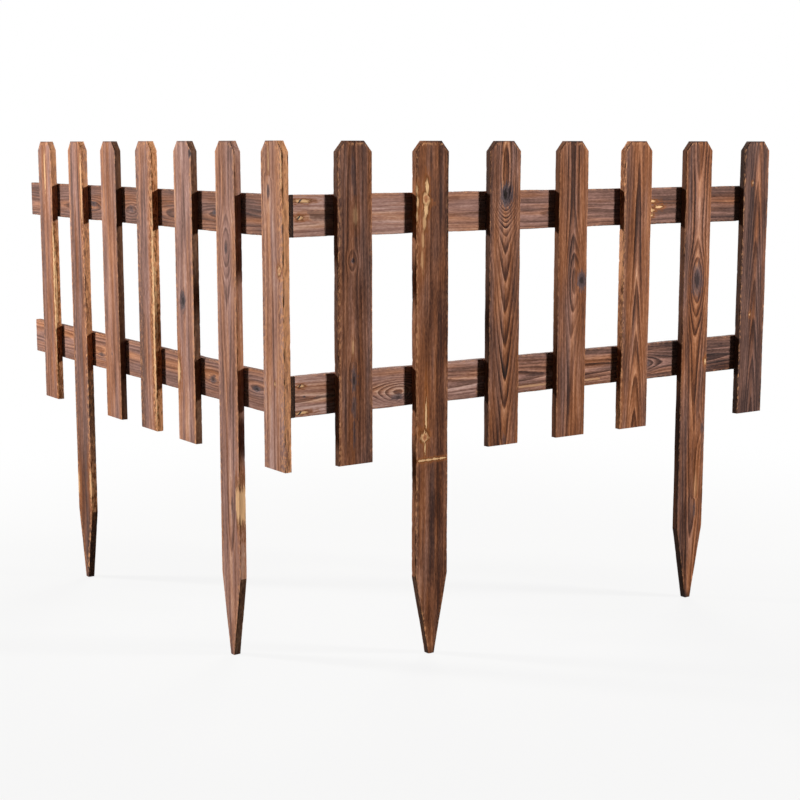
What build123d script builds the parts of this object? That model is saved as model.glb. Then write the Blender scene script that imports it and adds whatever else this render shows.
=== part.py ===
from build123d import *
import os

# Corner of a low picket fence for garden beds: two equal panels of planed boards, nailed together
# at a right angle. Each panel has pickets and two pointed stakes on the front of two flat rails.
# The rails run on past the first picket as tongues, and the tongues of one panel are nailed
# against the rails of the next.
#
# Sizes are in millimetres and Z is up. The origin is the middle of the blunt tip of the right
# panel's first stake. The right panel runs along X with its pickets facing -Y, and the left panel
# runs along Y with its pickets facing -X.

# Board stock, the same for pickets, stakes and rails
board_width = 38.5
board_thickness = 7.5
eased_edge = 0.8

# Pickets, and the stakes that carry on down into the ground; their tops are level
picket_length = 300.0
stake_length = 500.0
ear_width = 8.5
ear_height = 10.0
point_length = 80.0
tip_width = 7.0

# Panel layout, seen from the front and counted from the left
boards_per_panel = 7
boards_outside_stake = 1
board_gap = 49.0
tongue_length = 42.0
rail_setback = 6.0
foot_to_bottom_rail = 49.0
top_to_top_rail = 48.0

# Places that follow from the sizes above
pitch = board_width + board_gap
stake_places = (1 + boards_outside_stake, boards_per_panel - boards_outside_stake)
picket_foot = stake_length - picket_length
bottom_rail_z = picket_foot + foot_to_bottom_rail
top_rail_z = stake_length - top_to_top_rail - board_width
first_board_x = (1 - stake_places[0]) * pitch
last_board_x = (boards_per_panel - stake_places[0]) * pitch
tongue_end_x = first_board_x - board_width / 2 - tongue_length
rail_end_x = last_board_x + board_width / 2 - rail_setback
rail_front_y = board_thickness / 2
rail_back_y = rail_front_y + board_thickness


def sawn_board(outline):
    # An outline drawn on XZ becomes a board with its front and back edges eased
    board = extrude(Plane.XZ * outline, amount=board_thickness / 2, both=True)
    return chamfer(board.faces().filter_by(Axis.Y).edges(), eased_edge)


def dog_eared_top(length):
    # The top of a board's outline, from its right shoulder over to its left one
    half_width = board_width / 2
    half_top = half_width - ear_width
    shoulder = length - ear_height
    return [(half_width, shoulder), (half_top, length), (-half_top, length), (-half_width, shoulder)]


def make_picket():
    square_foot = [(-board_width / 2, 0), (board_width / 2, 0)]
    outline = Polygon(*square_foot, *dog_eared_top(picket_length), align=None)
    return Pos(Z=picket_foot) * sawn_board(outline)


def make_stake():
    # The point is cut in the width alone, so the board keeps its thickness down to the tip
    left_taper = [(-board_width / 2, point_length), (-tip_width / 2, 0)]
    right_taper = [(tip_width / 2, 0), (board_width / 2, point_length)]
    outline = Polygon(*left_taper, *right_taper, *dog_eared_top(stake_length), align=None)
    return sawn_board(outline)


def make_rail(lower_edge_z):
    outline = Rectangle(rail_end_x - tongue_end_x, board_width, align=Align.MIN)
    rail = sawn_board(outline)
    return Pos(tongue_end_x, (rail_front_y + rail_back_y) / 2, lower_edge_z) * rail


def make_panel():
    # The boards of one panel by name, with the first stake's tip at the origin
    boards = {
        "bottom_rail": make_rail(bottom_rail_z),
        "top_rail": make_rail(top_rail_z),
    }
    pickets = 0
    stakes = 0
    for place in range(1, boards_per_panel + 1):
        across = Pos(X=(place - stake_places[0]) * pitch)
        if place in stake_places:
            stakes += 1
            boards[f"stake_{stakes}"] = across * make_stake()
        else:
            pickets += 1
            boards[f"picket_{pickets}"] = across * make_picket()
    return boards


# The right panel's tongues end on the back of the left panel's rails, and the left panel's rails
# end flush with the front of those tongues
right_panel = Location()
left_panel = Pos(tongue_end_x - rail_back_y, rail_front_y + rail_end_x) * Rot(Z=-90)

os.makedirs("parts", exist_ok=True)
for side, location in (("right", right_panel), ("left", left_panel)):
    for name, board in make_panel().items():
        export_step(location * board, f"parts/{side}_{name}.step")
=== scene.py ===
import bpy
import math
from mathutils import Matrix, Vector


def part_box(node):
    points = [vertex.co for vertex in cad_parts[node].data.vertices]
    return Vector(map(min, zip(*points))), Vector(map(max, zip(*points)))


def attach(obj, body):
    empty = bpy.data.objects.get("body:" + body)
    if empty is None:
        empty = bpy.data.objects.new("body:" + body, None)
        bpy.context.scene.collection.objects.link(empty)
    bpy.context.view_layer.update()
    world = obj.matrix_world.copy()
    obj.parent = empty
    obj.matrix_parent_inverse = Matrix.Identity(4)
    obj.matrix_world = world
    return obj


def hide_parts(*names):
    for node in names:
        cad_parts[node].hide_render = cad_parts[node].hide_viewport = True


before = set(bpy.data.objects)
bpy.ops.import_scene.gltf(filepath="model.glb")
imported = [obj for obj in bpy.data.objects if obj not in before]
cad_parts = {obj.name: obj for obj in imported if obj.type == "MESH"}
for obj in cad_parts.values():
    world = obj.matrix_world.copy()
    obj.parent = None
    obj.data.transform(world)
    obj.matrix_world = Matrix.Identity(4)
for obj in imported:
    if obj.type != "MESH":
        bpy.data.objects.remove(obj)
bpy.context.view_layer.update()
mm = 0.001
print("frame loaded,", len(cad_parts), "boards")


def linear(hexColour):
    channels = [int(hexColour[i:i + 2], 16) / 255 for i in (1, 3, 5)]
    return [c / 12.92 if c <= 0.04045 else ((c + 0.055) / 1.055) ** 2.4 for c in channels] + [1.0]


def addNode(tree, kind, *values, out=0, **settings):
    # a short kind is a shader node; values go to the node's visible inputs in order: a socket is
    # linked, None is passed over
    node = tree.nodes.new(kind if "Node" in kind else "ShaderNode" + kind)
    for name, value in settings.items():
        setattr(node, name, value)
    sockets = [socket for socket in node.inputs if socket.enabled]
    for socket, value in zip(sockets, values):
        if isinstance(value, bpy.types.NodeSocket):
            tree.links.new(value, socket)
        elif value is not None:
            socket.default_value = value
    shown = [socket for socket in node.outputs if socket.enabled]
    return shown[out] if shown else None


def newMaterial(name):
    material = bpy.data.materials.new(name)
    material.use_nodes = True
    material.node_tree.nodes.clear()
    return material, material.node_tree


def newTree(name, result, inputs):
    tree = bpy.data.node_groups.new(name, "GeometryNodeTree")
    for kind, labels in inputs.items():
        for label in labels:
            tree.interface.new_socket(label, in_out="INPUT", socket_type="NodeSocket" + kind)
    tree.interface.new_socket(result, in_out="OUTPUT", socket_type="NodeSocketGeometry")
    return tree, tree.nodes.new("NodeGroupInput").outputs


def setInputs(modifier, values):
    # by socket identifier, before the tree is first evaluated
    for item in modifier.node_group.interface.items_tree:
        if item.in_out == "INPUT" and item.name in values:
            modifier[item.identifier] = values[item.name]


def newObject(name, data):
    obj = bpy.data.objects.new(name, data)
    bpy.context.scene.collection.objects.link(obj)
    return obj


# Growth rings, in mm of timber. The same nodes carve the boards and colour them.
ringRule = {
    "steep": (0.55, 0.95, 1.0, 0.18),   # lines fade where the saw met the rings square on
    "driftLength": 160.0,       # the pith strays this slowly along the trunk
    "drift": (4.0, 5.0, 0.0),
    "warpSize": (0.11, 0.11, 0.014),    # per mm: small waves, drawn out along the trunk
    "warp": 2.0,
    "goodYears": 0.17,          # per mm: wet and dry years make strong and faint lines,
    "yearSpread": (0.3, 0.65, 0.35, 1.0),   # and this is how far they differ
    "lateRise": (0.3, 0.78),    # parts of a year: the wood slowly darkens, then the line ends
    "lateFall": (0.86, 1.0),
    "earlyFall": (0.0, 0.3),    # and spring starts pale
}


def growthRings(tree, grain, pith, draw):
    # draw is how far a knot draws the rings round itself
    along = addNode(tree, "SeparateXYZ", grain).node.outputs["Z"]
    taper = addNode(tree, "SeparateXYZ", pith).node.outputs["Z"]
    station = addNode(tree, "CombineXYZ", 0.0, 0.0, along)
    drift = addNode(tree, "TexNoise", station, 1 / ringRule["driftLength"], 1.0, out=1)
    drift = addNode(tree, "VectorMath", drift, (0.5, 0.5, 0.5), operation="SUBTRACT")
    drift = addNode(tree, "VectorMath", drift, ringRule["drift"], pith,
                    operation="MULTIPLY_ADD")
    reach = addNode(tree, "VectorMath", grain, drift, operation="SUBTRACT")
    reach = addNode(tree, "VectorMath", reach, (1.0, 1.0, 0.0), operation="MULTIPLY")
    ring = addNode(tree, "VectorMath", reach, operation="LENGTH")
    ring = addNode(tree, "Math", along, taper, ring, operation="MULTIPLY_ADD")
    wave = addNode(tree, "VectorMath", grain, ringRule["warpSize"], operation="MULTIPLY")
    wave = addNode(tree, "TexNoise", wave, 1.0, 2.0)
    ring = addNode(tree, "Math", wave, ringRule["warp"], ring, operation="MULTIPLY_ADD")
    ring = addNode(tree, "Math", ring, draw, operation="SUBTRACT")
    outward = addNode(tree, "VectorMath", reach, operation="NORMALIZE")
    steep = addNode(tree, "SeparateXYZ", outward).node.outputs["X"]
    steep = addNode(tree, "Math", steep, operation="ABSOLUTE")
    return ring, steep


def yearLines(tree, ring, steep, rings):
    # late wood is the hard dark line that ends the year, early wood the pale start of the next
    spacing, strength, _ = addNode(tree, "SeparateXYZ", rings).node.outputs
    years = addNode(tree, "Math", ring, spacing, operation="DIVIDE")
    part = addNode(tree, "Math", years, operation="FRACT")
    rise = addNode(tree, "MapRange", part, *ringRule["lateRise"], interpolation_type="SMOOTHSTEP")
    fall = addNode(tree, "MapRange", part, *ringRule["lateFall"], interpolation_type="SMOOTHSTEP")
    late = addNode(tree, "Math", rise, fall, operation="SUBTRACT")
    early = addNode(tree, "MapRange", part, *ringRule["earlyFall"], 1.0, 0.0,
                    interpolation_type="SMOOTHSTEP")
    weather = addNode(tree, "CombineXYZ", ring, 0.0, 0.0)
    weather = addNode(tree, "TexNoise", weather, ringRule["goodYears"], 1.0)
    weather = addNode(tree, "MapRange", weather, *ringRule["yearSpread"])
    show = addNode(tree, "MapRange", steep, *ringRule["steep"])
    show = addNode(tree, "Math", show, strength, operation="MULTIPLY")
    show = addNode(tree, "Math", show, weather, operation="MULTIPLY")
    late = addNode(tree, "Math", late, show, operation="MULTIPLY")
    early = addNode(tree, "Math", early, show, operation="MULTIPLY")
    return late, early


# Charred pine: softwood boards scorched with a flame, then brushed along the grain. The soft wood
# is brushed back to a pinkish brown, the year lines stay dark and proud, knots and end grain burn
# black, and knocked edges show the pale timber underneath.
pineLook = {
    "burnt": "#1b110d",
    "knot": "#6a595b",
    "warm": ((0.0, "#20110b"), (0.25, "#57301c"), (0.5, "#955c3a"), (0.75, "#c98a63"), (1.0, "#eebc98")),
    "cool": ((0.0, "#1a110f"), (0.25, "#442f2a"), (0.5, "#79574b"), (0.75, "#b08476"), (1.0, "#dfb8aa")),
    "raw": "#ffcf98",
    "toast": "#aa6430",
    "heart": "#c47e54",
    "tan": "#e6a472",
    "lateDarkens": -0.42,
    "earlyLightens": 0.2,
    "lateCools": -0.05,
    "earlyWarms": 0.04,
    "edgeDarkens": -0.08,       # where the saw met the rings square on
    "edgeCools": -0.08,
    "hueSpread": (-0.2, 0.1),   # cool below the first, warm above the second
    "sideWarms": 0.25,          # sawn sides are redder than the brushed faces
    "fibreSize": (0.8, 0.8, 0.03),      # per mm: drawn coarser than real fibres, so that it shows
    "fibreWeight": 0.42,
    "speckSize": (0.85, 0.85, 0.22),
    "speckWeight": 0.4,
    "streakSize": (0.2, 0.2, 0.0062),
    "streakWeight": 0.65,
    "scorchSize": (0.07, 0.07, 0.02),
    "scorchWeight": 0.45,
    "hueSize": (0.1, 0.1, 0.008),
    "wearSize": (0.28, 0.28, 0.2),
    "charShows": 0.95,          # how black a charred side is
    "rawFrom": 0.05,            # sides above this are raw, in blotches and specks
    "rawScorch": 1.6,
    "rawSpeck": 1.4,
    "rawShows": 0.9,
    "spotEdge": (1.15, 0.6),    # this and the next five: in half sizes of the spot, from its outside in
    "knotHeart": (0.55, 0.25),
    "halo": (3.2, 0.8),         # toasted wood round a pale one
    "bark": (1.75, 1.35),       # and a dark line
    "eye": (0.7, 0.5),
    "pupil": (0.28, 0.12),
    "knotLayers": 5.5,
    "layersShow": 0.6,
    "barkShows": 0.5,
    "pupilShows": 0.45,
    "ragged": 1.5,
    "wornFrom": (0.0, 0.12),
    "charredFrom": -0.1,
    "wornChar": 0.15,           # charred sides hardly show wear
    "topShows": 0.75,           # how black the scorched tops and tips are
    "roughness": 0.72,
    "ior": 1.5,
    "specular": 0.12,           # soot and brushed fibres throw back little
    "bump": 0.0005,
    "bumpShows": 0.7,
    "fibreProud": 1.2,
}


def makeCharredPine():
    look = pineLook
    material, tree = newMaterial("charred_pine")
    grain, pith, rings, spot, tint = (addNode(tree, "Attribute", attribute_name=name, out=1)
                                      for name in ("grain", "pith", "rings", "spot", "tint"))
    near, spotTone, swirl = addNode(tree, "SeparateXYZ", spot).node.outputs
    rim, cut, draw = (addNode(tree, "Attribute", attribute_name=name, out=2)
                      for name in ("rim", "cut", "draw"))
    ring, steep = growthRings(tree, grain, pith, draw)
    late, early = yearLines(tree, ring, steep, rings)
    noises = {}
    for name in ("fibre", "speck", "streak", "scorch", "hue", "wear"):
        size = addNode(tree, "VectorMath", grain, look[name + "Size"], operation="MULTIPLY")
        noise = addNode(tree, "TexNoise", size, 1.0, 3.0)
        noises[name] = addNode(tree, "Math", noise, 0.5, operation="SUBTRACT")
    tone, warmth, contrast = addNode(tree, "SeparateXYZ", tint).node.outputs
    shade = addNode(tree, "Math", late, look["lateDarkens"], operation="MULTIPLY")
    shade = addNode(tree, "Math", early, look["earlyLightens"], shade, operation="MULTIPLY_ADD")
    shade = addNode(tree, "Math", steep, look["edgeDarkens"], shade, operation="MULTIPLY_ADD")
    for name in ("fibre", "speck", "streak", "scorch"):
        shade = addNode(tree, "Math", noises[name], look[name + "Weight"], shade,
                        operation="MULTIPLY_ADD")
    shade = addNode(tree, "Math", shade, contrast, tone, operation="MULTIPLY_ADD")
    ramps = {}
    for name in ("cool", "warm"):
        ramps[name] = addNode(tree, "ValToRGB", shade)
        elements = ramps[name].node.color_ramp.elements
        while len(elements) < len(look[name]):
            elements.new(0.5)
        for element, (place, hexColour) in zip(elements, look[name]):
            element.position = place
            element.color = linear(hexColour)
    hue = addNode(tree, "Math", noises["hue"], warmth, operation="ADD")
    hue = addNode(tree, "Math", steep, look["edgeCools"], hue, operation="MULTIPLY_ADD")
    hue = addNode(tree, "Math", late, look["lateCools"], hue, operation="MULTIPLY_ADD")
    hue = addNode(tree, "Math", early, look["earlyWarms"], hue, operation="MULTIPLY_ADD")
    sawn = addNode(tree, "Math", cut, operation="ABSOLUTE")
    hue = addNode(tree, "Math", sawn, look["sideWarms"], hue, operation="MULTIPLY_ADD")
    hue = addNode(tree, "MapRange", hue, *look["hueSpread"])
    colour = addNode(tree, "Mix", hue, ramps["cool"], ramps["warm"], data_type="RGBA")
    # sawn sides and ends burn harder than the faces, or stay raw, as each board says
    dark = addNode(tree, "MapRange", cut, 0.0, -1.0, 0.0, look["charShows"])
    colour = addNode(tree, "Mix", dark, colour, linear(look["burnt"]), data_type="RGBA")
    pale = addNode(tree, "Math", noises["scorch"], look["rawScorch"], cut, operation="MULTIPLY_ADD")
    pale = addNode(tree, "Math", noises["speck"], look["rawSpeck"], pale, operation="MULTIPLY_ADD")
    pale = addNode(tree, "MapRange", pale, look["rawFrom"], 1.0, 0.0, look["rawShows"])
    onCut = addNode(tree, "Math", cut, look["rawFrom"], operation="GREATER_THAN")
    pale = addNode(tree, "Math", pale, onCut, operation="MULTIPLY")
    colour = addNode(tree, "Mix", pale, colour, linear(look["tan"]), data_type="RGBA")
    # knots and wounds, black or pale
    ragged = addNode(tree, "Math", noises["fibre"], look["ragged"], 1.0, operation="MULTIPLY_ADD")
    ragged = addNode(tree, "Math", noises["speck"], look["ragged"], ragged,
                     operation="MULTIPLY_ADD")
    near = addNode(tree, "Math", near, ragged, operation="MULTIPLY")
    core = addNode(tree, "MapRange", near, *look["spotEdge"], interpolation_type="SMOOTHSTEP")
    dead = addNode(tree, "Math", spotTone, -1.0, operation="MULTIPLY", use_clamp=True)
    grey = addNode(tree, "Math", dead, core, operation="MULTIPLY")
    colour = addNode(tree, "Mix", grey, colour, linear(look["knot"]), data_type="RGBA")
    black = addNode(tree, "MapRange", near, *look["knotHeart"], interpolation_type="SMOOTHSTEP")
    black = addNode(tree, "Math", black, dead, operation="MULTIPLY")
    layers = addNode(tree, "Math", near, look["knotLayers"], operation="MULTIPLY")
    layers = addNode(tree, "Math", layers, 1.0, operation="PINGPONG")
    layers = addNode(tree, "Math", layers, grey, operation="MULTIPLY")
    layers = addNode(tree, "Math", layers, look["layersShow"], operation="MULTIPLY")
    black = addNode(tree, "Math", black, layers, operation="MAXIMUM")
    colour = addNode(tree, "Mix", black, colour, linear(look["burnt"]), data_type="RGBA")
    halo = addNode(tree, "MapRange", near, *look["halo"], interpolation_type="SMOOTHSTEP")
    halo = addNode(tree, "Math", spotTone, halo, operation="MULTIPLY", use_clamp=True)
    colour = addNode(tree, "Mix", halo, colour, linear(look["toast"]), data_type="RGBA")
    bark = addNode(tree, "MapRange", near, *look["bark"], interpolation_type="SMOOTHSTEP")
    bark = addNode(tree, "Math", bark, core, operation="SUBTRACT")
    bark = addNode(tree, "Math", bark, spotTone, operation="MULTIPLY", use_clamp=True)
    bark = addNode(tree, "Math", bark, look["barkShows"], operation="MULTIPLY")
    colour = addNode(tree, "Mix", bark, colour, linear(look["burnt"]), data_type="RGBA")
    bare = addNode(tree, "Math", spotTone, core, operation="MULTIPLY", use_clamp=True)
    colour = addNode(tree, "Mix", bare, colour, linear(look["raw"]), data_type="RGBA")
    eye = addNode(tree, "MapRange", near, *look["eye"])
    knotted = addNode(tree, "Math", swirl, 1.0, operation="GREATER_THAN")
    eye = addNode(tree, "Math", eye, knotted, operation="MULTIPLY")
    eye = addNode(tree, "Math", eye, bare, operation="MULTIPLY")
    colour = addNode(tree, "Mix", eye, colour, linear(look["heart"]), data_type="RGBA")
    pupil = addNode(tree, "MapRange", near, *look["pupil"], 0.0, look["pupilShows"])
    pupil = addNode(tree, "Math", pupil, eye, operation="MULTIPLY")
    colour = addNode(tree, "Mix", pupil, colour, linear(look["burnt"]), data_type="RGBA")
    # knocked edges, and the painted highlight inside the scorched tops, both shown pale where the wear noise
    # is high
    wearAndGlint = addNode(tree, "Math", noises["wear"], noises["speck"], operation="ADD")
    wearAndGlint = addNode(tree, "MapRange", wearAndGlint, *look["wornFrom"])
    wearAndGlint = addNode(tree, "Math", wearAndGlint, rim, operation="MULTIPLY", use_clamp=True)
    sound = addNode(tree, "MapRange", cut, look["charredFrom"], 0.0, look["wornChar"], 1.0)
    wearAndGlint = addNode(tree, "Math", wearAndGlint, sound, operation="MULTIPLY")
    colour = addNode(tree, "Mix", wearAndGlint, colour, linear(look["tan"]), data_type="RGBA")
    char = addNode(tree, "Math", rim, -look["topShows"], operation="MULTIPLY", use_clamp=True)
    colour = addNode(tree, "Mix", char, colour, linear(look["burnt"]), data_type="RGBA")
    height = addNode(tree, "Math", noises["fibre"], look["fibreProud"], late, operation="MULTIPLY_ADD")
    normal = addNode(tree, "Bump", look["bumpShows"], look["bump"], None, height)
    shader = addNode(tree, "BsdfPrincipled", colour, 0.0, look["roughness"], look["ior"])
    shader.node.inputs["Specular IOR Level"].default_value = look["specular"]
    tree.links.new(normal, shader.node.inputs["Normal"])
    addNode(tree, "OutputMaterial", shader)
    return material


charredPine = makeCharredPine()
print("charred pine mixed")


# Boards: one node tree saws every picket, stake and rail. Sizes in mm.
boardRule = {
    "earWidth": 8.5,
    "earHeight": 10.0,
    "pointLength": 80.0,
    "tipWidth": 7.0,
    "stepAlong": 2.5,
    "stepAcross": 0.75,         # fine across, so that the brushed rings are carved
    "layers": 6,
    "easedEdge": 0.2,
    "relief": 0.28,             # how deep the soft wood is brushed out
    "edgesApart": 50.0,         # in the noise, so that the two edges differ
    "wander": 0.7,              # edges stray inwards slowly
    "wanderLength": 55.0,
    "wanderFrom": (0.4, 0.75),
    "chip": 0.6,                # and chip quickly
    "chipLength": 7.0,
    "chipFrom": (0.55, 0.68),
    "edgePull": 10.0,           # only the outermost cells move with the edge
    "pitTone": (-0.8, -1.0),    # black knots are pits
    "pitDepth": 1.3,
    "pitReach": (1.0, 0.4),
    "sharpAngle": 50.0,
    "charWidth": 2.0,           # the sawn top scorches this far down
    "glintWidth": 1.8,          # and a painted highlight, a pale line, runs just inside that
    "glintShows": 0.8,
    "bareWidth": 3.0,           # raw wood shows this far in from a chip
    "bareShows": 1.5,
    "logStretch": 1000.0,       # the next seed is cut this much further along the trunk
    "squash": 0.35,             # knots reach further along the grain than across it
    "spotReach": -0.12,         # how quickly the rings straighten out round a spot
    "pointCut": -0.92,          # the sawn sides of the points are charred
    "tipChar": 9.0,             # and so are their tips, this far up
    "onBack": 2.0,              # shallow marks are on the front alone
    "warmer": 0.6,              # where an edge is lighter it is warmer too
}


def makeBoardTree():
    rule = boardRule
    tree, given = newTree("boardTree", "Board", {
        "Geometry": ("Spots",),
        "Int": ("Cells Across", "Cells Along"),
        "Float": ("Length", "Width", "Thickness", "Ear Width", "Ear Height", "Point Length", "Tip Width",
                  "Seed", "Left Side", "Right Side", "End Grain"),
        "Vector": ("Pith", "Rings", "Tint", "Wash", "Chips", "Knot", "Reach"),
        "Material": ("Material",),
    })

    # a unit block of cells: u across, w through and v along
    columns = addNode(tree, "Math", given["Cells Across"], 1.0, operation="ADD")
    rows = addNode(tree, "Math", given["Cells Along"], 1.0, operation="ADD")
    block = addNode(tree, "GeometryNodeMeshCube", (1.0, 1.0, 1.0), columns, rule["layers"] + 1, rows)
    place = addNode(tree, "GeometryNodeInputPosition")
    place = addNode(tree, "VectorMath", place, (2.0, 2.0, 1.0), (0.0, 0.0, 0.5),
                    operation="MULTIPLY_ADD")
    u, w, v = addNode(tree, "SeparateXYZ", place).node.outputs
    side = addNode(tree, "Math", u, operation="SIGN")
    face = addNode(tree, "Math", w, operation="SIGN")
    uSize = addNode(tree, "Math", u, operation="ABSOLUTE")
    wSize = addNode(tree, "Math", w, operation="ABSOLUTE")
    onSide = addNode(tree, "Math", uSize, 0.999, operation="GREATER_THAN")
    onFace = addNode(tree, "Math", wSize, 0.999, operation="GREATER_THAN")
    along = addNode(tree, "Math", v, given["Length"], operation="MULTIPLY")
    halfDepth = addNode(tree, "Math", given["Thickness"], 0.5, operation="MULTIPLY")
    depth = addNode(tree, "Math", halfDepth, w, operation="MULTIPLY")

    # outline: the narrowest of the board, its point and its ears
    half = addNode(tree, "Math", given["Width"], 0.5, operation="MULTIPLY")
    halfTip = addNode(tree, "Math", given["Tip Width"], 0.5, operation="MULTIPLY")
    flare = addNode(tree, "Math", half, halfTip, operation="SUBTRACT")
    upPoint = addNode(tree, "Math", along, given["Point Length"], operation="DIVIDE")
    point = addNode(tree, "Math", upPoint, flare, halfTip, operation="MULTIPLY_ADD")
    shoulder = addNode(tree, "Math", given["Length"], given["Ear Height"], operation="SUBTRACT")
    upEar = addNode(tree, "Math", along, shoulder, operation="SUBTRACT")
    upEar = addNode(tree, "Math", upEar, given["Ear Height"], operation="DIVIDE", use_clamp=True)
    ear = addNode(tree, "Math", upEar, given["Ear Width"], operation="MULTIPLY")
    eared = addNode(tree, "Math", half, ear, operation="SUBTRACT")
    reach = addNode(tree, "Math", point, eared, operation="MINIMUM")
    across = addNode(tree, "Math", reach, u, operation="MULTIPLY")

    # the nearest knot or wound, in its own half sizes
    squashed = addNode(tree, "Math", along, rule["squash"], operation="MULTIPLY")
    here = addNode(tree, "CombineXYZ", across, 0.0, squashed)
    nearest = addNode(tree, "GeometryNodeSampleNearest", given["Spots"], here)
    found = {}
    for name, kind in (("halfSize", "FLOAT_VECTOR"), ("tone", "FLOAT"), ("swirl", "FLOAT")):
        value = addNode(tree, "GeometryNodeInputNamedAttribute", name, data_type=kind)
        found[name] = addNode(tree, "GeometryNodeSampleIndex", given["Spots"], value, nearest, data_type=kind)
    value = addNode(tree, "GeometryNodeInputPosition")
    centre = addNode(tree, "GeometryNodeSampleIndex", given["Spots"], value, nearest,
                     data_type="FLOAT_VECTOR")
    away = addNode(tree, "VectorMath", here, centre, operation="SUBTRACT")
    away = addNode(tree, "VectorMath", away, found["halfSize"], operation="DIVIDE")
    awayX, _, awayZ = addNode(tree, "SeparateXYZ", away).node.outputs
    flat = addNode(tree, "CombineXYZ", awayX, awayZ, 0.0)
    near = addNode(tree, "VectorMath", flat, operation="LENGTH")
    shallow = addNode(tree, "Math", found["swirl"], 0.5, operation="LESS_THAN")
    behind = addNode(tree, "MapRange", w, -1.0, 1.0, 0.0, rule["onBack"])
    near = addNode(tree, "Math", shallow, behind, near, operation="MULTIPLY_ADD")
    spot = addNode(tree, "CombineXYZ", near, found["tone"], found["swirl"])

    # knots draw the rings: a little round each spot, and far along the board round its main knot
    draw = addNode(tree, "Math", near, near, operation="MULTIPLY")
    draw = addNode(tree, "Math", draw, rule["spotReach"], operation="MULTIPLY")
    draw = addNode(tree, "Math", draw, operation="EXPONENT")
    draw = addNode(tree, "Math", draw, found["swirl"], operation="MULTIPLY")
    knotAcross, knotAlong, knotDraw = addNode(tree, "SeparateXYZ", given["Knot"]).node.outputs
    reachAcross, reachDown, reachUp = addNode(tree, "SeparateXYZ", given["Reach"]).node.outputs
    toKnot = addNode(tree, "Math", across, knotAcross, operation="SUBTRACT")
    toKnot = addNode(tree, "Math", toKnot, reachAcross, operation="DIVIDE")
    upKnot = addNode(tree, "Math", along, knotAlong, operation="SUBTRACT")
    isAbove = addNode(tree, "Math", upKnot, 0.0, operation="GREATER_THAN")
    reachAlong = addNode(tree, "Mix", isAbove, reachDown, reachUp)
    upKnot = addNode(tree, "Math", upKnot, reachAlong, operation="DIVIDE")
    bulge = addNode(tree, "Math", toKnot, toKnot, operation="MULTIPLY")
    bulge = addNode(tree, "Math", upKnot, upKnot, bulge, operation="MULTIPLY_ADD")
    bulge = addNode(tree, "Math", bulge, -1.0, operation="MULTIPLY")
    bulge = addNode(tree, "Math", bulge, operation="EXPONENT")
    draw = addNode(tree, "Math", bulge, knotDraw, draw, operation="MULTIPLY_ADD")

    # where the board was in the trunk, and its rings
    station = addNode(tree, "Math", given["Seed"], rule["logStretch"], along,
                      operation="MULTIPLY_ADD")
    grain = addNode(tree, "CombineXYZ", across, depth, station)
    late, _ = yearLines(tree, *growthRings(tree, grain, given["Pith"], draw), given["Rings"])

    # the char is lighter to one side of the board, to both, or to its end
    toSide, toBoth, toEnd = addNode(tree, "SeparateXYZ", given["Wash"]).node.outputs
    wash = addNode(tree, "Math", u, u, operation="MULTIPLY")
    wash = addNode(tree, "Math", wash, 1 / 3, operation="SUBTRACT")
    wash = addNode(tree, "Math", wash, toBoth, operation="MULTIPLY")
    wash = addNode(tree, "Math", u, toSide, wash, operation="MULTIPLY_ADD")
    warmer = addNode(tree, "Math", wash, rule["warmer"], operation="MULTIPLY")
    onward = addNode(tree, "Math", v, 0.5, operation="SUBTRACT")
    wash = addNode(tree, "Math", onward, toEnd, wash, operation="MULTIPLY_ADD")
    tint = addNode(tree, "CombineXYZ", wash, warmer, 0.0)
    tint = addNode(tree, "VectorMath", given["Tint"], tint, operation="ADD")

    # edges stray inwards and chip
    edge = addNode(tree, "Math", side, rule["edgesApart"], operation="MULTIPLY")
    slow = addNode(tree, "Math", station, 1 / rule["wanderLength"], operation="MULTIPLY")
    slow = addNode(tree, "CombineXYZ", edge, 0.0, slow)
    slow = addNode(tree, "TexNoise", slow, 1.0, 2.0)
    stray = addNode(tree, "MapRange", slow, *rule["wanderFrom"], 0.0, rule["wander"])
    quick = addNode(tree, "Math", station, 1 / rule["chipLength"], operation="MULTIPLY")
    quick = addNode(tree, "CombineXYZ", edge, w, quick)
    quick = addNode(tree, "TexNoise", quick, 1.0, 1.0)
    chip = addNode(tree, "MapRange", quick, *rule["chipFrom"])
    leftChips, rightChips, wornWidth = addNode(tree, "SeparateXYZ", given["Chips"]).node.outputs
    isRight = addNode(tree, "Math", side, 0.0, operation="GREATER_THAN")
    chips = addNode(tree, "Mix", isRight, leftChips, rightChips)
    chip = addNode(tree, "Math", chip, chips, operation="MULTIPLY")
    inset = addNode(tree, "Math", chip, rule["chip"], stray, operation="MULTIPLY_ADD")
    fromSide = addNode(tree, "Math", 1.0, uSize, operation="SUBTRACT")
    fromSide = addNode(tree, "Math", fromSide, reach, operation="MULTIPLY")
    fromFace = addNode(tree, "Math", depth, operation="ABSOLUTE")
    fromFace = addNode(tree, "Math", halfDepth, fromFace, operation="SUBTRACT")
    fromEdge = addNode(tree, "Math", fromSide, fromFace, operation="ADD")
    rim = addNode(tree, "MapRange", fromEdge, 0.0, wornWidth, 1.0, 0.0)
    rim = addNode(tree, "Math", rim, chips, operation="MULTIPLY")
    bare = addNode(tree, "MapRange", fromEdge, 0.0, rule["bareWidth"], 1.0, 0.0)
    bare = addNode(tree, "Math", bare, chip, operation="MULTIPLY")
    rim = addNode(tree, "Math", bare, rule["bareShows"], rim, operation="MULTIPLY_ADD")
    fromTop = addNode(tree, "Math", given["Length"], along, operation="SUBTRACT")
    fromTop = addNode(tree, "Math", fromTop, fromFace, operation="ADD")
    fromTop = addNode(tree, "Math", fromTop, fromEdge, operation="MINIMUM")
    char = addNode(tree, "MapRange", fromTop, 0.0, rule["charWidth"], 1.0, 0.0)
    atTop = addNode(tree, "Math", upEar, 0.0, operation="GREATER_THAN")
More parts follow.
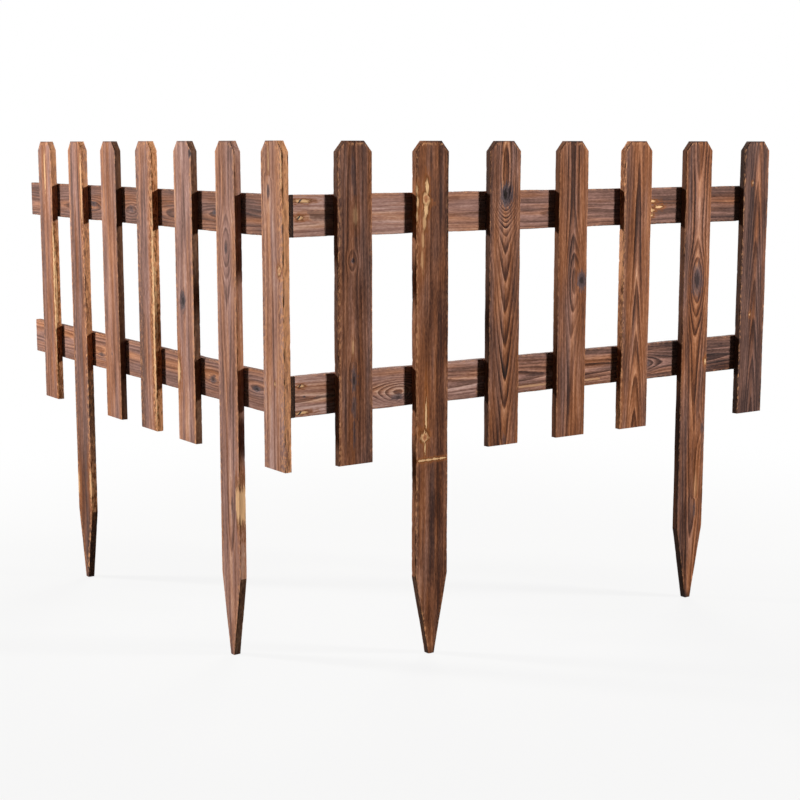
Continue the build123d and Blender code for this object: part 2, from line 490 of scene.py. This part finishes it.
    # painted highlight: a pale line just inside the scorched top, carried in rim and drawn in the tan of the
    # worn edges
    inside = addNode(tree, "Math", fromTop, rule["charWidth"], operation="GREATER_THAN")
    glint = addNode(tree, "MapRange", fromTop, rule["charWidth"],
                    rule["charWidth"] + rule["glintWidth"], rule["glintShows"], 0.0)
    glint = addNode(tree, "Math", glint, inside, operation="MULTIPLY")
    char = addNode(tree, "Math", char, glint, operation="SUBTRACT")
    char = addNode(tree, "Math", char, atTop, operation="MULTIPLY")
    rim = addNode(tree, "Math", rim, char, operation="SUBTRACT")
    isStake = addNode(tree, "Math", given["Tip Width"], given["Width"], operation="LESS_THAN")
    char = addNode(tree, "MapRange", along, 0.0, rule["tipChar"], 1.0, 0.0)
    char = addNode(tree, "Math", char, isStake, operation="MULTIPLY")
    rim = addNode(tree, "Math", rim, char, operation="SUBTRACT")
    arris = addNode(tree, "Math", onSide, onFace, operation="MULTIPLY")
    inset = addNode(tree, "Math", arris, rule["easedEdge"], inset, operation="MULTIPLY_ADD")
    pull = addNode(tree, "Math", uSize, rule["edgePull"], operation="POWER")
    inset = addNode(tree, "Math", inset, pull, operation="MULTIPLY")
    inset = addNode(tree, "Math", inset, side, operation="MULTIPLY")
    x = addNode(tree, "Math", across, inset, operation="SUBTRACT")

    # brushing sinks the soft wood, and black knots are pits
    soft = addNode(tree, "Math", 1.0, late, operation="SUBTRACT")
    sink = addNode(tree, "Math", soft, rule["relief"], operation="MULTIPLY")
    pit = addNode(tree, "MapRange", found["tone"], *rule["pitTone"], 0.0, rule["pitDepth"])
    core = addNode(tree, "MapRange", near, *rule["pitReach"], interpolation_type="SMOOTHSTEP")
    sink = addNode(tree, "Math", core, pit, sink, operation="MULTIPLY_ADD")
    sink = addNode(tree, "Math", arris, rule["easedEdge"], sink, operation="MULTIPLY_ADD")
    sink = addNode(tree, "Math", sink, onFace, operation="MULTIPLY")
    sink = addNode(tree, "Math", sink, face, operation="MULTIPLY")
    y = addNode(tree, "Math", depth, sink, operation="SUBTRACT")

    # what the material reads
    board = block
    for name, value, kind in (("grain", grain, "FLOAT_VECTOR"), ("pith", given["Pith"], "FLOAT_VECTOR"),
                              ("rings", given["Rings"], "FLOAT_VECTOR"),
                              ("tint", tint, "FLOAT_VECTOR"), ("spot", spot, "FLOAT_VECTOR"),
                              ("draw", draw, "FLOAT"), ("rim", rim, "FLOAT")):
        board = addNode(tree, "GeometryNodeStoreNamedAttribute", board, True, name, value,
                        data_type=kind, domain="POINT")
    facing = addNode(tree, "GeometryNodeInputNormal")
    nx, _, nz = addNode(tree, "SeparateXYZ", facing).node.outputs
    isLeft = addNode(tree, "Math", nx, -0.5, operation="LESS_THAN")
    isRight = addNode(tree, "Math", nx, 0.5, operation="GREATER_THAN")
    isEnd = addNode(tree, "Math", nz, operation="ABSOLUTE")
    isEnd = addNode(tree, "Math", isEnd, 0.5, operation="GREATER_THAN")
    cut = addNode(tree, "Math", isLeft, given["Left Side"], operation="MULTIPLY")
    cut = addNode(tree, "Math", isRight, given["Right Side"], cut, operation="MULTIPLY_ADD")
    onSides = addNode(tree, "Math", isLeft, isRight, operation="ADD")
    onPoint = addNode(tree, "Math", point, half, operation="LESS_THAN")
    onPoint = addNode(tree, "Math", onPoint, onSides, operation="MULTIPLY")
    cut = addNode(tree, "Mix", onPoint, cut, rule["pointCut"])
    cut = addNode(tree, "Mix", isEnd, cut, given["End Grain"])
    board = addNode(tree, "GeometryNodeStoreNamedAttribute", board, True, "cut", cut,
                    data_type="FLOAT", domain="FACE")

    sawn = addNode(tree, "CombineXYZ", x, y, along)
    sawn = addNode(tree, "VectorMath", sawn, (mm, mm, mm), operation="MULTIPLY")
    board = addNode(tree, "GeometryNodeSetPosition", board, True, sawn)
    board = addNode(tree, "GeometryNodeSetShadeSmooth", board, True, True)
    board = addNode(tree, "GeometryNodeRealizeInstances", board)
    board = addNode(tree, "GeometryNodeSetMaterial", board, True, given["Material"])
    addNode(tree, "NodeGroupOutput", board)
    return tree


# What each board looks like, the rest as in plainLook.
# pith: how far the heart of the tree lies to the right and behind the front, and the rings' lean
# rings: mm apart, and how strongly they show
# tint: tone, warmth and contrast
# wash: how much lighter it is to the right, to both edges and to its far end
# sides: left and right, from -1 charred to 1 raw
# chips: how worn the left and right edges are, and how far in
# knot: across, along and how far it draws the rings; reach: how far that goes across, down and up
# spots: across, along, half width, half length, tone from -1 black to 1 raw, swirl of the rings
# Across is from the middle, along is from the foot, or from the tongue's end on a rail.
plainLook = dict(wash=(0.0, 0.0, 0.0), chips=(0.4, 0.4, 2.5), knot=(0.0, 0.0, 0.0), reach=(1.0, 1.0, 1.0))
boardLooks = {
    "right_picket_1": dict(
        seed=1, pith=(-3, 3, 0.01), rings=(3.2, 0.5), tint=(0.53, 0.03, 1.1), wash=(-0.02, 0.04, 0.07),
        sides=(-0.8, -0.6), chips=(0.8, 0.3, 5),
        spots=((-2, 191, 2.2, 2.8, -1, 4), (-2, 268, 2.2, 20, -0.3, 0), (0.5, 232, 3, 9, 0.2, 0),
               (-2, 80, 3, 12, -0.8, 1), (-2, 55, 2.5, 11, -0.6, 1), (-2, 28, 1.6, 16, -0.5, 0),
               (-3, 112, 1.2, 8, 0.35, 0))),
    "right_stake_1": dict(
        seed=2, pith=(16, 18, 0.005), rings=(5.2, 0.25), tint=(0.46, 0.05, 1.15),
        wash=(-0.15, 0.0, -0.04), sides=(-0.3, -0.6), chips=(0.9, 0.3, 4),
        spots=((-6.4, 457, 1.8, 7, 1, 0), (-7.5, 445.5, 4.0, 6, 0.9, 3), (-7.6, 435, 2.3, 6, 1, 0),
               (-9.4, 424, 2.1, 9, 0.6, 0), (-11.2, 407, 1.5, 9, 0.4, 0), (-12, 388, 1.6, 10, 0.35, 0),
               (-18.4, 454, 1.5, 5, 0.95, 0), (-18, 443, 1.7, 6, 0.95, 0), (-18.6, 430, 1.2, 5, 0.9, 0),
               (-7, 238, 1.2, 18, 0.95, 0), (-8.4, 217.5, 4.4, 5.4, 0.95, 3),
               (-7.8, 207.5, 1, 5, 0.9, 0), (-12, 195, 6, 1.2, 0.9, 0), (-4, 195, 6, 1.2, 0.9, 0),
               (4, 195, 6, 1.2, 0.9, 0), (12, 195, 6, 1.2, 0.9, 0))),
    "right_picket_2": dict(
        seed=3, pith=(1, 2.6, -0.12), rings=(3.8, 1.0), tint=(0.565, 0.06, 1.1), wash=(0.0, -0.06, 0.06),
        sides=(-0.8, -0.6), knot=(1.3, 249, 27), reach=(28, 25, 110),
        spots=((1.3, 248, 7.5, 13, -1, 1), (1, 5, 2.5, 6, -0.4, 2))),
    "right_picket_3": dict(
        seed=4, pith=(-1, 1, 0.0), rings=(3.6, 0.9), tint=(0.58, 0.09, 1.0), wash=(0.0, 0.0, 0.06),
        sides=(-0.6, -0.6), knot=(9, 158, 11), reach=(13, 55, 45),
        spots=((12.5, 160, 7, 10, -0.85, 4),)),
    "right_picket_4": dict(
        seed=5, pith=(1, 1, 0.02), rings=(4.0, 1.0), tint=(0.595, 0.11, 1.0), sides=(0.2, -0.6),
        chips=(1.0, 0.3, 4), knot=(1, -30, 13), reach=(30, 115, 115),
        spots=((1, -10, 3, 10, -0.4, 0),)),
    "right_stake_2": dict(
        seed=6, pith=(1, 4, -0.03), rings=(3.4, 0.9), tint=(0.535, 0.07, 1.05), wash=(0.08, 0.0, 0.08),
        sides=(-0.6, -0.6), knot=(1, 354, 9), reach=(20, 40, 26),
        spots=((1.4, 352, 8, 19, -0.7, 1), (17, 263, 1.6, 3, 0.95, 0), (15.6, 190, 3.4, 6, -0.5, 5),
               (7.6, 125, 3, 15, 0.15, 0), (7, 98, 2.5, 10, -0.5, 2))),
    "right_picket_5": dict(
        seed=7, pith=(3, 4, 0.05), rings=(2.6, 0.7), tint=(0.43, -0.12, 0.9), wash=(0.03, 0.0, 0.0),
        sides=(-0.8, -0.6), chips=(0.8, 0.5, 3),
        spots=((-5.4, 255, 1.2, 1.8, 0.8, 2), (-3, 255, 0.8, 1.5, -0.8, 0), (-4, 110, 1, 2, 0.6, 0))),
    "left_picket_1": dict(
        seed=8, pith=(4, 8, 0.01), rings=(5, 0.3), tint=(0.655, -0.06, 1.0), wash=(0.04, 0.06, 0.12),
        sides=(-0.6, 0.4), chips=(0.6, 1.0, 6),
        spots=((-0.2, 264, 2.6, 25, 0.6, 0), (19.5, 130, 3.5, 90, 1, 0))),
    "left_stake_1": dict(
        seed=9, pith=(-2, 6, 0.02), rings=(5, 0.35), tint=(0.55, -0.06, 1.0), wash=(0.0, 0.1, 0.3),
        sides=(-0.6, 0.3), chips=(0.7, 1.2, 8),
        spots=((15, 454, 2, 35, 0.8, 0), (-18, 108, 4, 14, 0.6, 0), (18, 112, 4, 18, 0.65, 0))),
    "left_picket_2": dict(
        seed=10, pith=(1, 7, 0.01), rings=(5, 0.25), tint=(0.645, -0.03, 0.9), wash=(0.0, 0.06, 0.0),
        sides=(-0.6, -0.75), chips=(0.7, 0.6, 5),
        spots=((-2, 70.6, 1.8, 2.2, -0.8, 3), (0, 215, 0.8, 60, -0.35, 0))),
    "left_picket_3": dict(
        seed=11, pith=(-3, 7, 0.01), rings=(5, 0.3), tint=(0.69, -0.14, 1.1), wash=(0.15, 0.05, 0.06),
        sides=(-0.6, 0.9), chips=(0.6, 1.6, 12),
        spots=((19, 125, 4.5, 120, 1, 0),)),
    "left_picket_4": dict(
        seed=12, pith=(0, 5, 0.02), rings=(5, 0.35), tint=(0.76, -0.09, 1.0), wash=(0.0, 0.11, 0.0),
        sides=(-0.6, -0.8), chips=(0.7, 1.1, 6),
        spots=((-4.5, 142, 7, 11, -0.9, 3), (-17, 70, 4.5, 13, 0.8, 0), (17, 288, 3, 6, -0.9, 0))),
    "left_stake_2": dict(
        seed=13, pith=(1, 5, -0.03), rings=(4.4, 0.5), tint=(0.745, -0.06, 1.0),
        wash=(0.02, 0.08, -0.04), sides=(-0.6, -0.15), chips=(0.7, 0.8, 6), knot=(0, 400, 12),
        reach=(24, 28, 26),
        spots=((0.3, 399, 2.8, 6, -0.6, 1), (4.5, 150, 2.6, 12, -0.45, 3),
               (18.5, 154, 11, 18, 0.75, 1))),
    "left_picket_5": dict(
        seed=14, pith=(-6, 6, 0.01), rings=(4.4, 0.45), tint=(0.75, -0.03, 1.0), wash=(0.0, 0.05, 0.0),
        sides=(-0.6, 0.5), chips=(0.6, 1.5, 11),
        spots=((17, 277, 0.9, 22, 0.9, 0), (12.5, 184, 2.6, 3.6, 0.9, 3), (-6, 255, 2.6, 8, -0.7, 4),
               (-5, 282, 0.7, 14, 0.7, 0), (2, 80, 1.2, 2, 0.6, 0))),
    "right_top_rail": dict(
        seed=15, pith=(6, 8, 0.004), rings=(2.6, 0.45), tint=(0.67, -0.12, 0.9), wash=(0.0, 0.0, -0.45),
        sides=(-0.5, -0.6),
        spots=((-13.5, 9, 1.3, 9, 0.9, 0), (1.5, 6.5, 1.8, 3.5, 0.8, 0), (0, 26, 5, 26, -0.4, 0),
               (4, 436, 2.4, 5, 1, 0), (1.5, 448, 1.4, 5, 1, 0), (-5, 438, 1.2, 5, 0.9, 0),
               (10, 436, 1.4, 4, 0.9, 0), (4, 300, 2, 6, -0.4, 2))),
    "right_bottom_rail": dict(
        seed=16, pith=(2, 3, 0.03), rings=(3.0, 0.95), tint=(0.69, -0.1, 1.1), wash=(0.0, 0.0, -0.5),
        sides=(-0.5, -0.6), knot=(9, 116, 12), reach=(16, 26, 20),
        spots=((2.6, 435, 3.6, 5, -0.8, 5), (10, 114, 4, 8, -0.7, 2), (13, 300, 1.2, 180, 0.3, 0),
               (-9.9, 6, 1.5, 3.5, 0.8, 0), (15, 8, 1.4, 7, 0.8, 0), (0.5, 10, 1.2, 2, -0.9, 0),
               (2, 30, 1.6, 36, -0.5, 0))),
    "left_top_rail": dict(
        seed=17, pith=(5, 9, 0.004), rings=(2.2, 0.8), tint=(0.545, -0.07, 0.65), sides=(-0.5, -0.6),
        spots=((3.2, 277.5, 3.4, 6, -0.6, 3), (0.6, 469, 3.6, 10, -0.9, 3), (2, 395, 3, 12, -0.8, 3),
               (1, 180, 3, 8, -0.7, 3))),
    "left_bottom_rail": dict(
        seed=18, pith=(-5, 9, 0.004), rings=(2.2, 0.8), tint=(0.665, -0.06, 0.7), sides=(-0.5, -0.6),
        spots=((0, 454.5, 4, 8, -0.7, 3), (-1, 541, 3.4, 8, -0.9, 3), (4, 190, 3, 8, -0.6, 3))),
}


def spotMesh(name, spots):
    mesh = bpy.data.meshes.new(name)
    squash = boardRule["squash"]
    mesh.from_pydata([(across, 0, along * squash) for across, along, *_ in spots], [], [])
    for field, kind in (("halfSize", "FLOAT_VECTOR"), ("tone", "FLOAT"), ("swirl", "FLOAT")):
        mesh.attributes.new(field, kind, "POINT")
    for i, (_, _, halfWide, halfLong, tone, swirl) in enumerate(spots):
        mesh.attributes["halfSize"].data[i].vector = (halfWide, 1, halfLong * squash)
        mesh.attributes["tone"].data[i].value = tone
        mesh.attributes["swirl"].data[i].value = swirl
    return mesh


def evaluated(name, obj, modifier):
    # the node tree's result as a plain mesh on the same object
    graph = bpy.context.evaluated_depsgraph_get()
    mesh = bpy.data.meshes.new_from_object(obj.evaluated_get(graph))
    obj.modifiers.remove(modifier)
    obj.data = mesh
    mesh.name = name
    return mesh


def sawBoard(node, look):
    rule = boardRule
    look = {**plainLook, **look}
    low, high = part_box(node)
    size = (high - low) / mm
    isLeft = node.startswith("left")
    isRail = node.endswith("rail")
    isStake = "stake" in node
    width = size.z if isRail else (size.y if isLeft else size.x)
    length = (size.y if isLeft else size.x) if isRail else size.z
    thickness = size.x if isLeft else size.y
    middle = (low + high) / 2
    if isRail:
        # a rail's tongue is at the panel's left end, and its across axis points down
        start = Vector((middle.x, high.y, middle.z)) if isLeft else Vector((low.x, middle.y, middle.z))
        axes = ((0, 0, -1), (1, 0, 0), (0, -1, 0)) if isLeft else ((0, 0, -1), (0, 1, 0), (1, 0, 0))
    else:
        start = Vector((middle.x, middle.y, low.z))
        axes = ((0, -1, 0), (1, 0, 0), (0, 0, 1)) if isLeft else ((1, 0, 0), (0, 1, 0), (0, 0, 1))
    obj = newObject(node + "_board", spotMesh(node + "_spots", look["spots"]))
    modifier = obj.modifiers.new("saw", "NODES")
    modifier.node_group = boardTree
    setInputs(modifier, {
        "Cells Across": round(width / rule["stepAcross"]),
        "Cells Along": round(length / rule["stepAlong"]),
        "Length": length,
        "Width": width,
        "Thickness": thickness,
        "Ear Width": 0.0 if isRail else rule["earWidth"],
        "Ear Height": rule["earHeight"],
        "Point Length": rule["pointLength"],
        "Tip Width": rule["tipWidth"] if isStake else width,
        "Seed": float(look["seed"]),
        "Left Side": look["sides"][0],
        "Right Side": look["sides"][1],
        "End Grain": -1.0,
        "Pith": look["pith"],
        "Rings": (*look["rings"], 0.0),
        "Tint": look["tint"],
        "Wash": look["wash"],
        "Chips": look["chips"],
        "Knot": look["knot"],
        "Reach": look["reach"],
        "Material": charredPine,
    })
    mesh = evaluated(node + "_board", obj, modifier)
    turn = Matrix(axes).transposed().to_4x4()
    mesh.transform(Matrix.Translation(start) @ turn)
    mesh.set_sharp_from_angle(angle=math.radians(rule["sharpAngle"]))
    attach(obj, "root")
    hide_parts(node)
    return len(mesh.polygons)


boardTree = makeBoardTree()
faces = sum(sawBoard(node, look) for node, look in boardLooks.items())
print("boards sawn,", faces, "faces")


# Nails. Two go through each rail into each picket, from behind, so that the fronts stay clean.
# The right panel's tongues are nailed to the left panel on the slant, which tears the wood.
nailRule = {
    "headRadius": 1.7,
    "headProud": 0.35,
    "headBuried": 0.6,
    "headSides": 14,
    "headRim": 0.82,                # the outer face is this much narrower
    "apart": (6.0, 9.0),            # from the middle of the crossing, along the rail and up
    "slantProud": 0.15,
    "slantShape": (1.6, 0.5, 1.0),  # a slanted head shows as a slit
    "slantTurn": 45.0,
    "tongueNails": {                # from the tongue's end, and up from the middle
        "right_top_rail": ((7.2, 13.5), (5.5, -1.5)),
        "right_bottom_rail": ((5.0, 9.9), (5.0, -15.0)),
    },
}
# Drawn steel wire, left out of doors: dark dull grey with a bloom of rust.
steelLook = {
    "grey": "#3a3735",
    "rust": "#6b4027",
    "rustSize": 900.0,      # patches of about 1 mm
    "rustFrom": (0.45, 0.65),
    "metallic": 0.7,
    "roughness": 0.55,
}


def makeNailSteel():
    material, tree = newMaterial("drawn_steel_wire")
    place = addNode(tree, "TexCoord", out=3)
    bloom = addNode(tree, "TexNoise", place, steelLook["rustSize"], 2.0)
    bloom = addNode(tree, "MapRange", bloom, *steelLook["rustFrom"])
    colour = addNode(tree, "Mix", bloom, linear(steelLook["grey"]), linear(steelLook["rust"]),
                     data_type="RGBA")
    shader = addNode(tree, "BsdfPrincipled", colour, steelLook["metallic"], steelLook["roughness"])
    addNode(tree, "OutputMaterial", shader)
    return material


def makeNailTree():
    tree, given = newTree("nailTree", "Nails", {
        "Geometry": ("Places",),
        "Int": ("Sides",),
        "Float": ("Radius", "Height"),
        "Vector": ("Turn", "Shape"),
        "Material": ("Material",),
    })
    rim = addNode(tree, "Math", given["Radius"], nailRule["headRim"], operation="MULTIPLY")
    head = addNode(tree, "GeometryNodeMeshCone", given["Sides"], 1, 1, rim, given["Radius"], given["Height"])
    turn = addNode(tree, "FunctionNodeEulerToRotation", given["Turn"])
    nails = addNode(tree, "GeometryNodeInstanceOnPoints", given["Places"], True, head, False, 0, turn,
                    given["Shape"])
    nails = addNode(tree, "GeometryNodeRealizeInstances", nails)
    nails = addNode(tree, "GeometryNodeSetMaterial", nails, True, given["Material"])
    addNode(tree, "NodeGroupOutput", nails)
    return tree


def driveNails(name, places, turn, shape):
    mesh = bpy.data.meshes.new(name + "_places")
    mesh.from_pydata(places, [], [])
    obj = newObject(name, mesh)
    modifier = obj.modifiers.new("drive", "NODES")
    modifier.node_group = nailTree
    setInputs(modifier, {
        "Sides": nailRule["headSides"],
        "Radius": nailRule["headRadius"] * mm,
        "Height": (nailRule["headProud"] + nailRule["headBuried"]) * mm,
        "Turn": [math.radians(angle) for angle in turn],
        "Shape": shape,
        "Material": nailSteel,
    })
    evaluated(name, obj, modifier)
    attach(obj, "root")


def nailPanel(side):
    away = nailRule["headBuried"] * mm
    places = []
    for rail in ("_top_rail", "_bottom_rail"):
        railLow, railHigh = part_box(side + rail)
        for board in boardLooks:
            if board.startswith(side) and not board.endswith("rail"):
                low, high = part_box(board)
                for way in (-1, 1):
                    along, up = (way * step * mm for step in nailRule["apart"])
                    height = (railLow.z + railHigh.z) / 2 + up
                    if side == "right":
                        places.append(((low.x + high.x) / 2 + along, railHigh.y - away, height))
                    else:
                        places.append((railHigh.x - away, (low.y + high.y) / 2 + along, height))
    driveNails(side + "_nails", places, (-90, 0, 0) if side == "right" else (0, 90, 0), (1, 1, 1))
    return len(places)


def nailCorner():
    # a slit's long way is its local X, turned in the face of the tongue
    depth = nailRule["headProud"] + nailRule["headBuried"]
    places = []
    for rail, spots in nailRule["tongueNails"].items():
        low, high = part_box(rail)
        for along, up in spots:
            places.append((low.x + along * mm, low.y - nailRule["slantProud"] * mm + depth * mm,
                           (low.z + high.z) / 2 + up * mm))
    driveNails("corner_nails", places, (90, -nailRule["slantTurn"], 0), nailRule["slantShape"])
    return len(places)


nailSteel = makeNailSteel()
nailTree = makeNailTree()
nails = nailPanel("right") + nailPanel("left") + nailCorner()
print("nails driven,", nails)


# Studio: a pale floor under the stake tips, one lamp to each side, one behind
studio = {
    "floor": "#b4b2af",
    "bounce": "#262524",        # the floor throws little light back up
    "floorRadius": 6.0,
    "floorShows": 0.13,         # how much of the floor's own shading the camera sees
    "floorFades": (0.5, 1.3),   # from the fence outwards it turns plain white
    "world": 0.011,
}
lamps = {
    "lampRight": dict(aim=(0.15, 0.0, 0.3), heading=132.0, rise=22.0, away=2.6, size=0.35, power=80.0),
    "lampLeft": dict(aim=(-0.16, 0.3, 0.3), heading=-45.0, rise=22.0, away=2.6, size=0.35, power=96.0),
    "lampBack": dict(aim=(0.1, 0.2, 0.3), heading=45.0, rise=35.0, away=2.6, size=1.6, power=45.0),
}
cameraSet = dict(place=(-889.3, -1240.3, 495.8), heading=34.557, tilt=-9.047, lens=72.0)


def towards(heading, rise):
    # heading is clockwise from +Y seen from above, rise is above the level
    h, r = math.radians(heading), math.radians(rise)
    return Vector((math.sin(h) * math.cos(r), math.cos(h) * math.cos(r), math.sin(r)))


def inSight(tree):
    # 1 where the camera looks, straight on, in a gloss or through something clear
    rays = addNode(tree, "LightPath").node.outputs
    seen = addNode(tree, "Math", rays["Is Camera Ray"], rays["Is Glossy Ray"], operation="MAXIMUM")
    return addNode(tree, "Math", seen, rays["Is Transmission Ray"], operation="MAXIMUM")


def makeFloor():
    material, tree = newMaterial("studio_floor")
    seen = inSight(tree)
    paint = addNode(tree, "BsdfDiffuse", linear(studio["floor"]))
    glow = addNode(tree, "Emission", (1.0, 1.0, 1.0, 1.0), 1.0)
    place = addNode(tree, "TexCoord", out=3)
    away = addNode(tree, "VectorMath", place, operation="LENGTH")
    fade = addNode(tree, "MapRange", away, *studio["floorFades"], studio["floorShows"], 0.0,
                   interpolation_type="SMOOTHSTEP")
    shown = addNode(tree, "MixShader", fade, glow, paint)
    bounce = addNode(tree, "BsdfDiffuse", linear(studio["bounce"]))
    shader = addNode(tree, "MixShader", seen, bounce, shown)
    addNode(tree, "OutputMaterial", shader)
    mesh = bpy.data.meshes.new("studio_floor")
    r = studio["floorRadius"]
    mesh.from_pydata([(-r, -r, 0), (r, -r, 0), (r, r, 0), (-r, r, 0)], [], [(0, 1, 2, 3)])
    mesh.materials.append(material)
    floor = newObject("studio_floor", mesh)


def makeWorld():
    world = bpy.data.worlds.new("studio")
    bpy.context.scene.world = world
    world.use_nodes = True
    tree = world.node_tree
    tree.nodes.clear()
    strength = addNode(tree, "MapRange", inSight(tree), 0.0, 1.0, studio["world"], 1.0)
    background = addNode(tree, "Background", (1.0, 1.0, 1.0, 1.0), strength)
    addNode(tree, "OutputWorld", background)


def setLamps():
    for name, lamp in lamps.items():
        data = bpy.data.lights.new(name, "AREA")
        data.shape = "DISK"
        data.size = lamp["size"]
        data.energy = lamp["power"]
        obj = newObject(name, data)
        back = towards(lamp["heading"], lamp["rise"])
        obj.location = Vector(lamp["aim"]) + back * lamp["away"]
        obj.rotation_euler = back.to_track_quat("Z", "Y").to_euler()


def setCamera():
    data = bpy.data.cameras.new("camera")
    data.lens = cameraSet["lens"]
    data.sensor_width = 36.0
    camera = newObject("camera", data)
    camera.location = Vector(cameraSet["place"]) * mm
    forward = towards(cameraSet["heading"], cameraSet["tilt"])
    camera.rotation_euler = forward.to_track_quat("-Z", "Y").to_euler()
    bpy.context.scene.camera = camera
    bpy.context.scene.view_settings.view_transform = "Standard"


makeFloor()
makeWorld()
setLamps()
setCamera()
print("studio set")
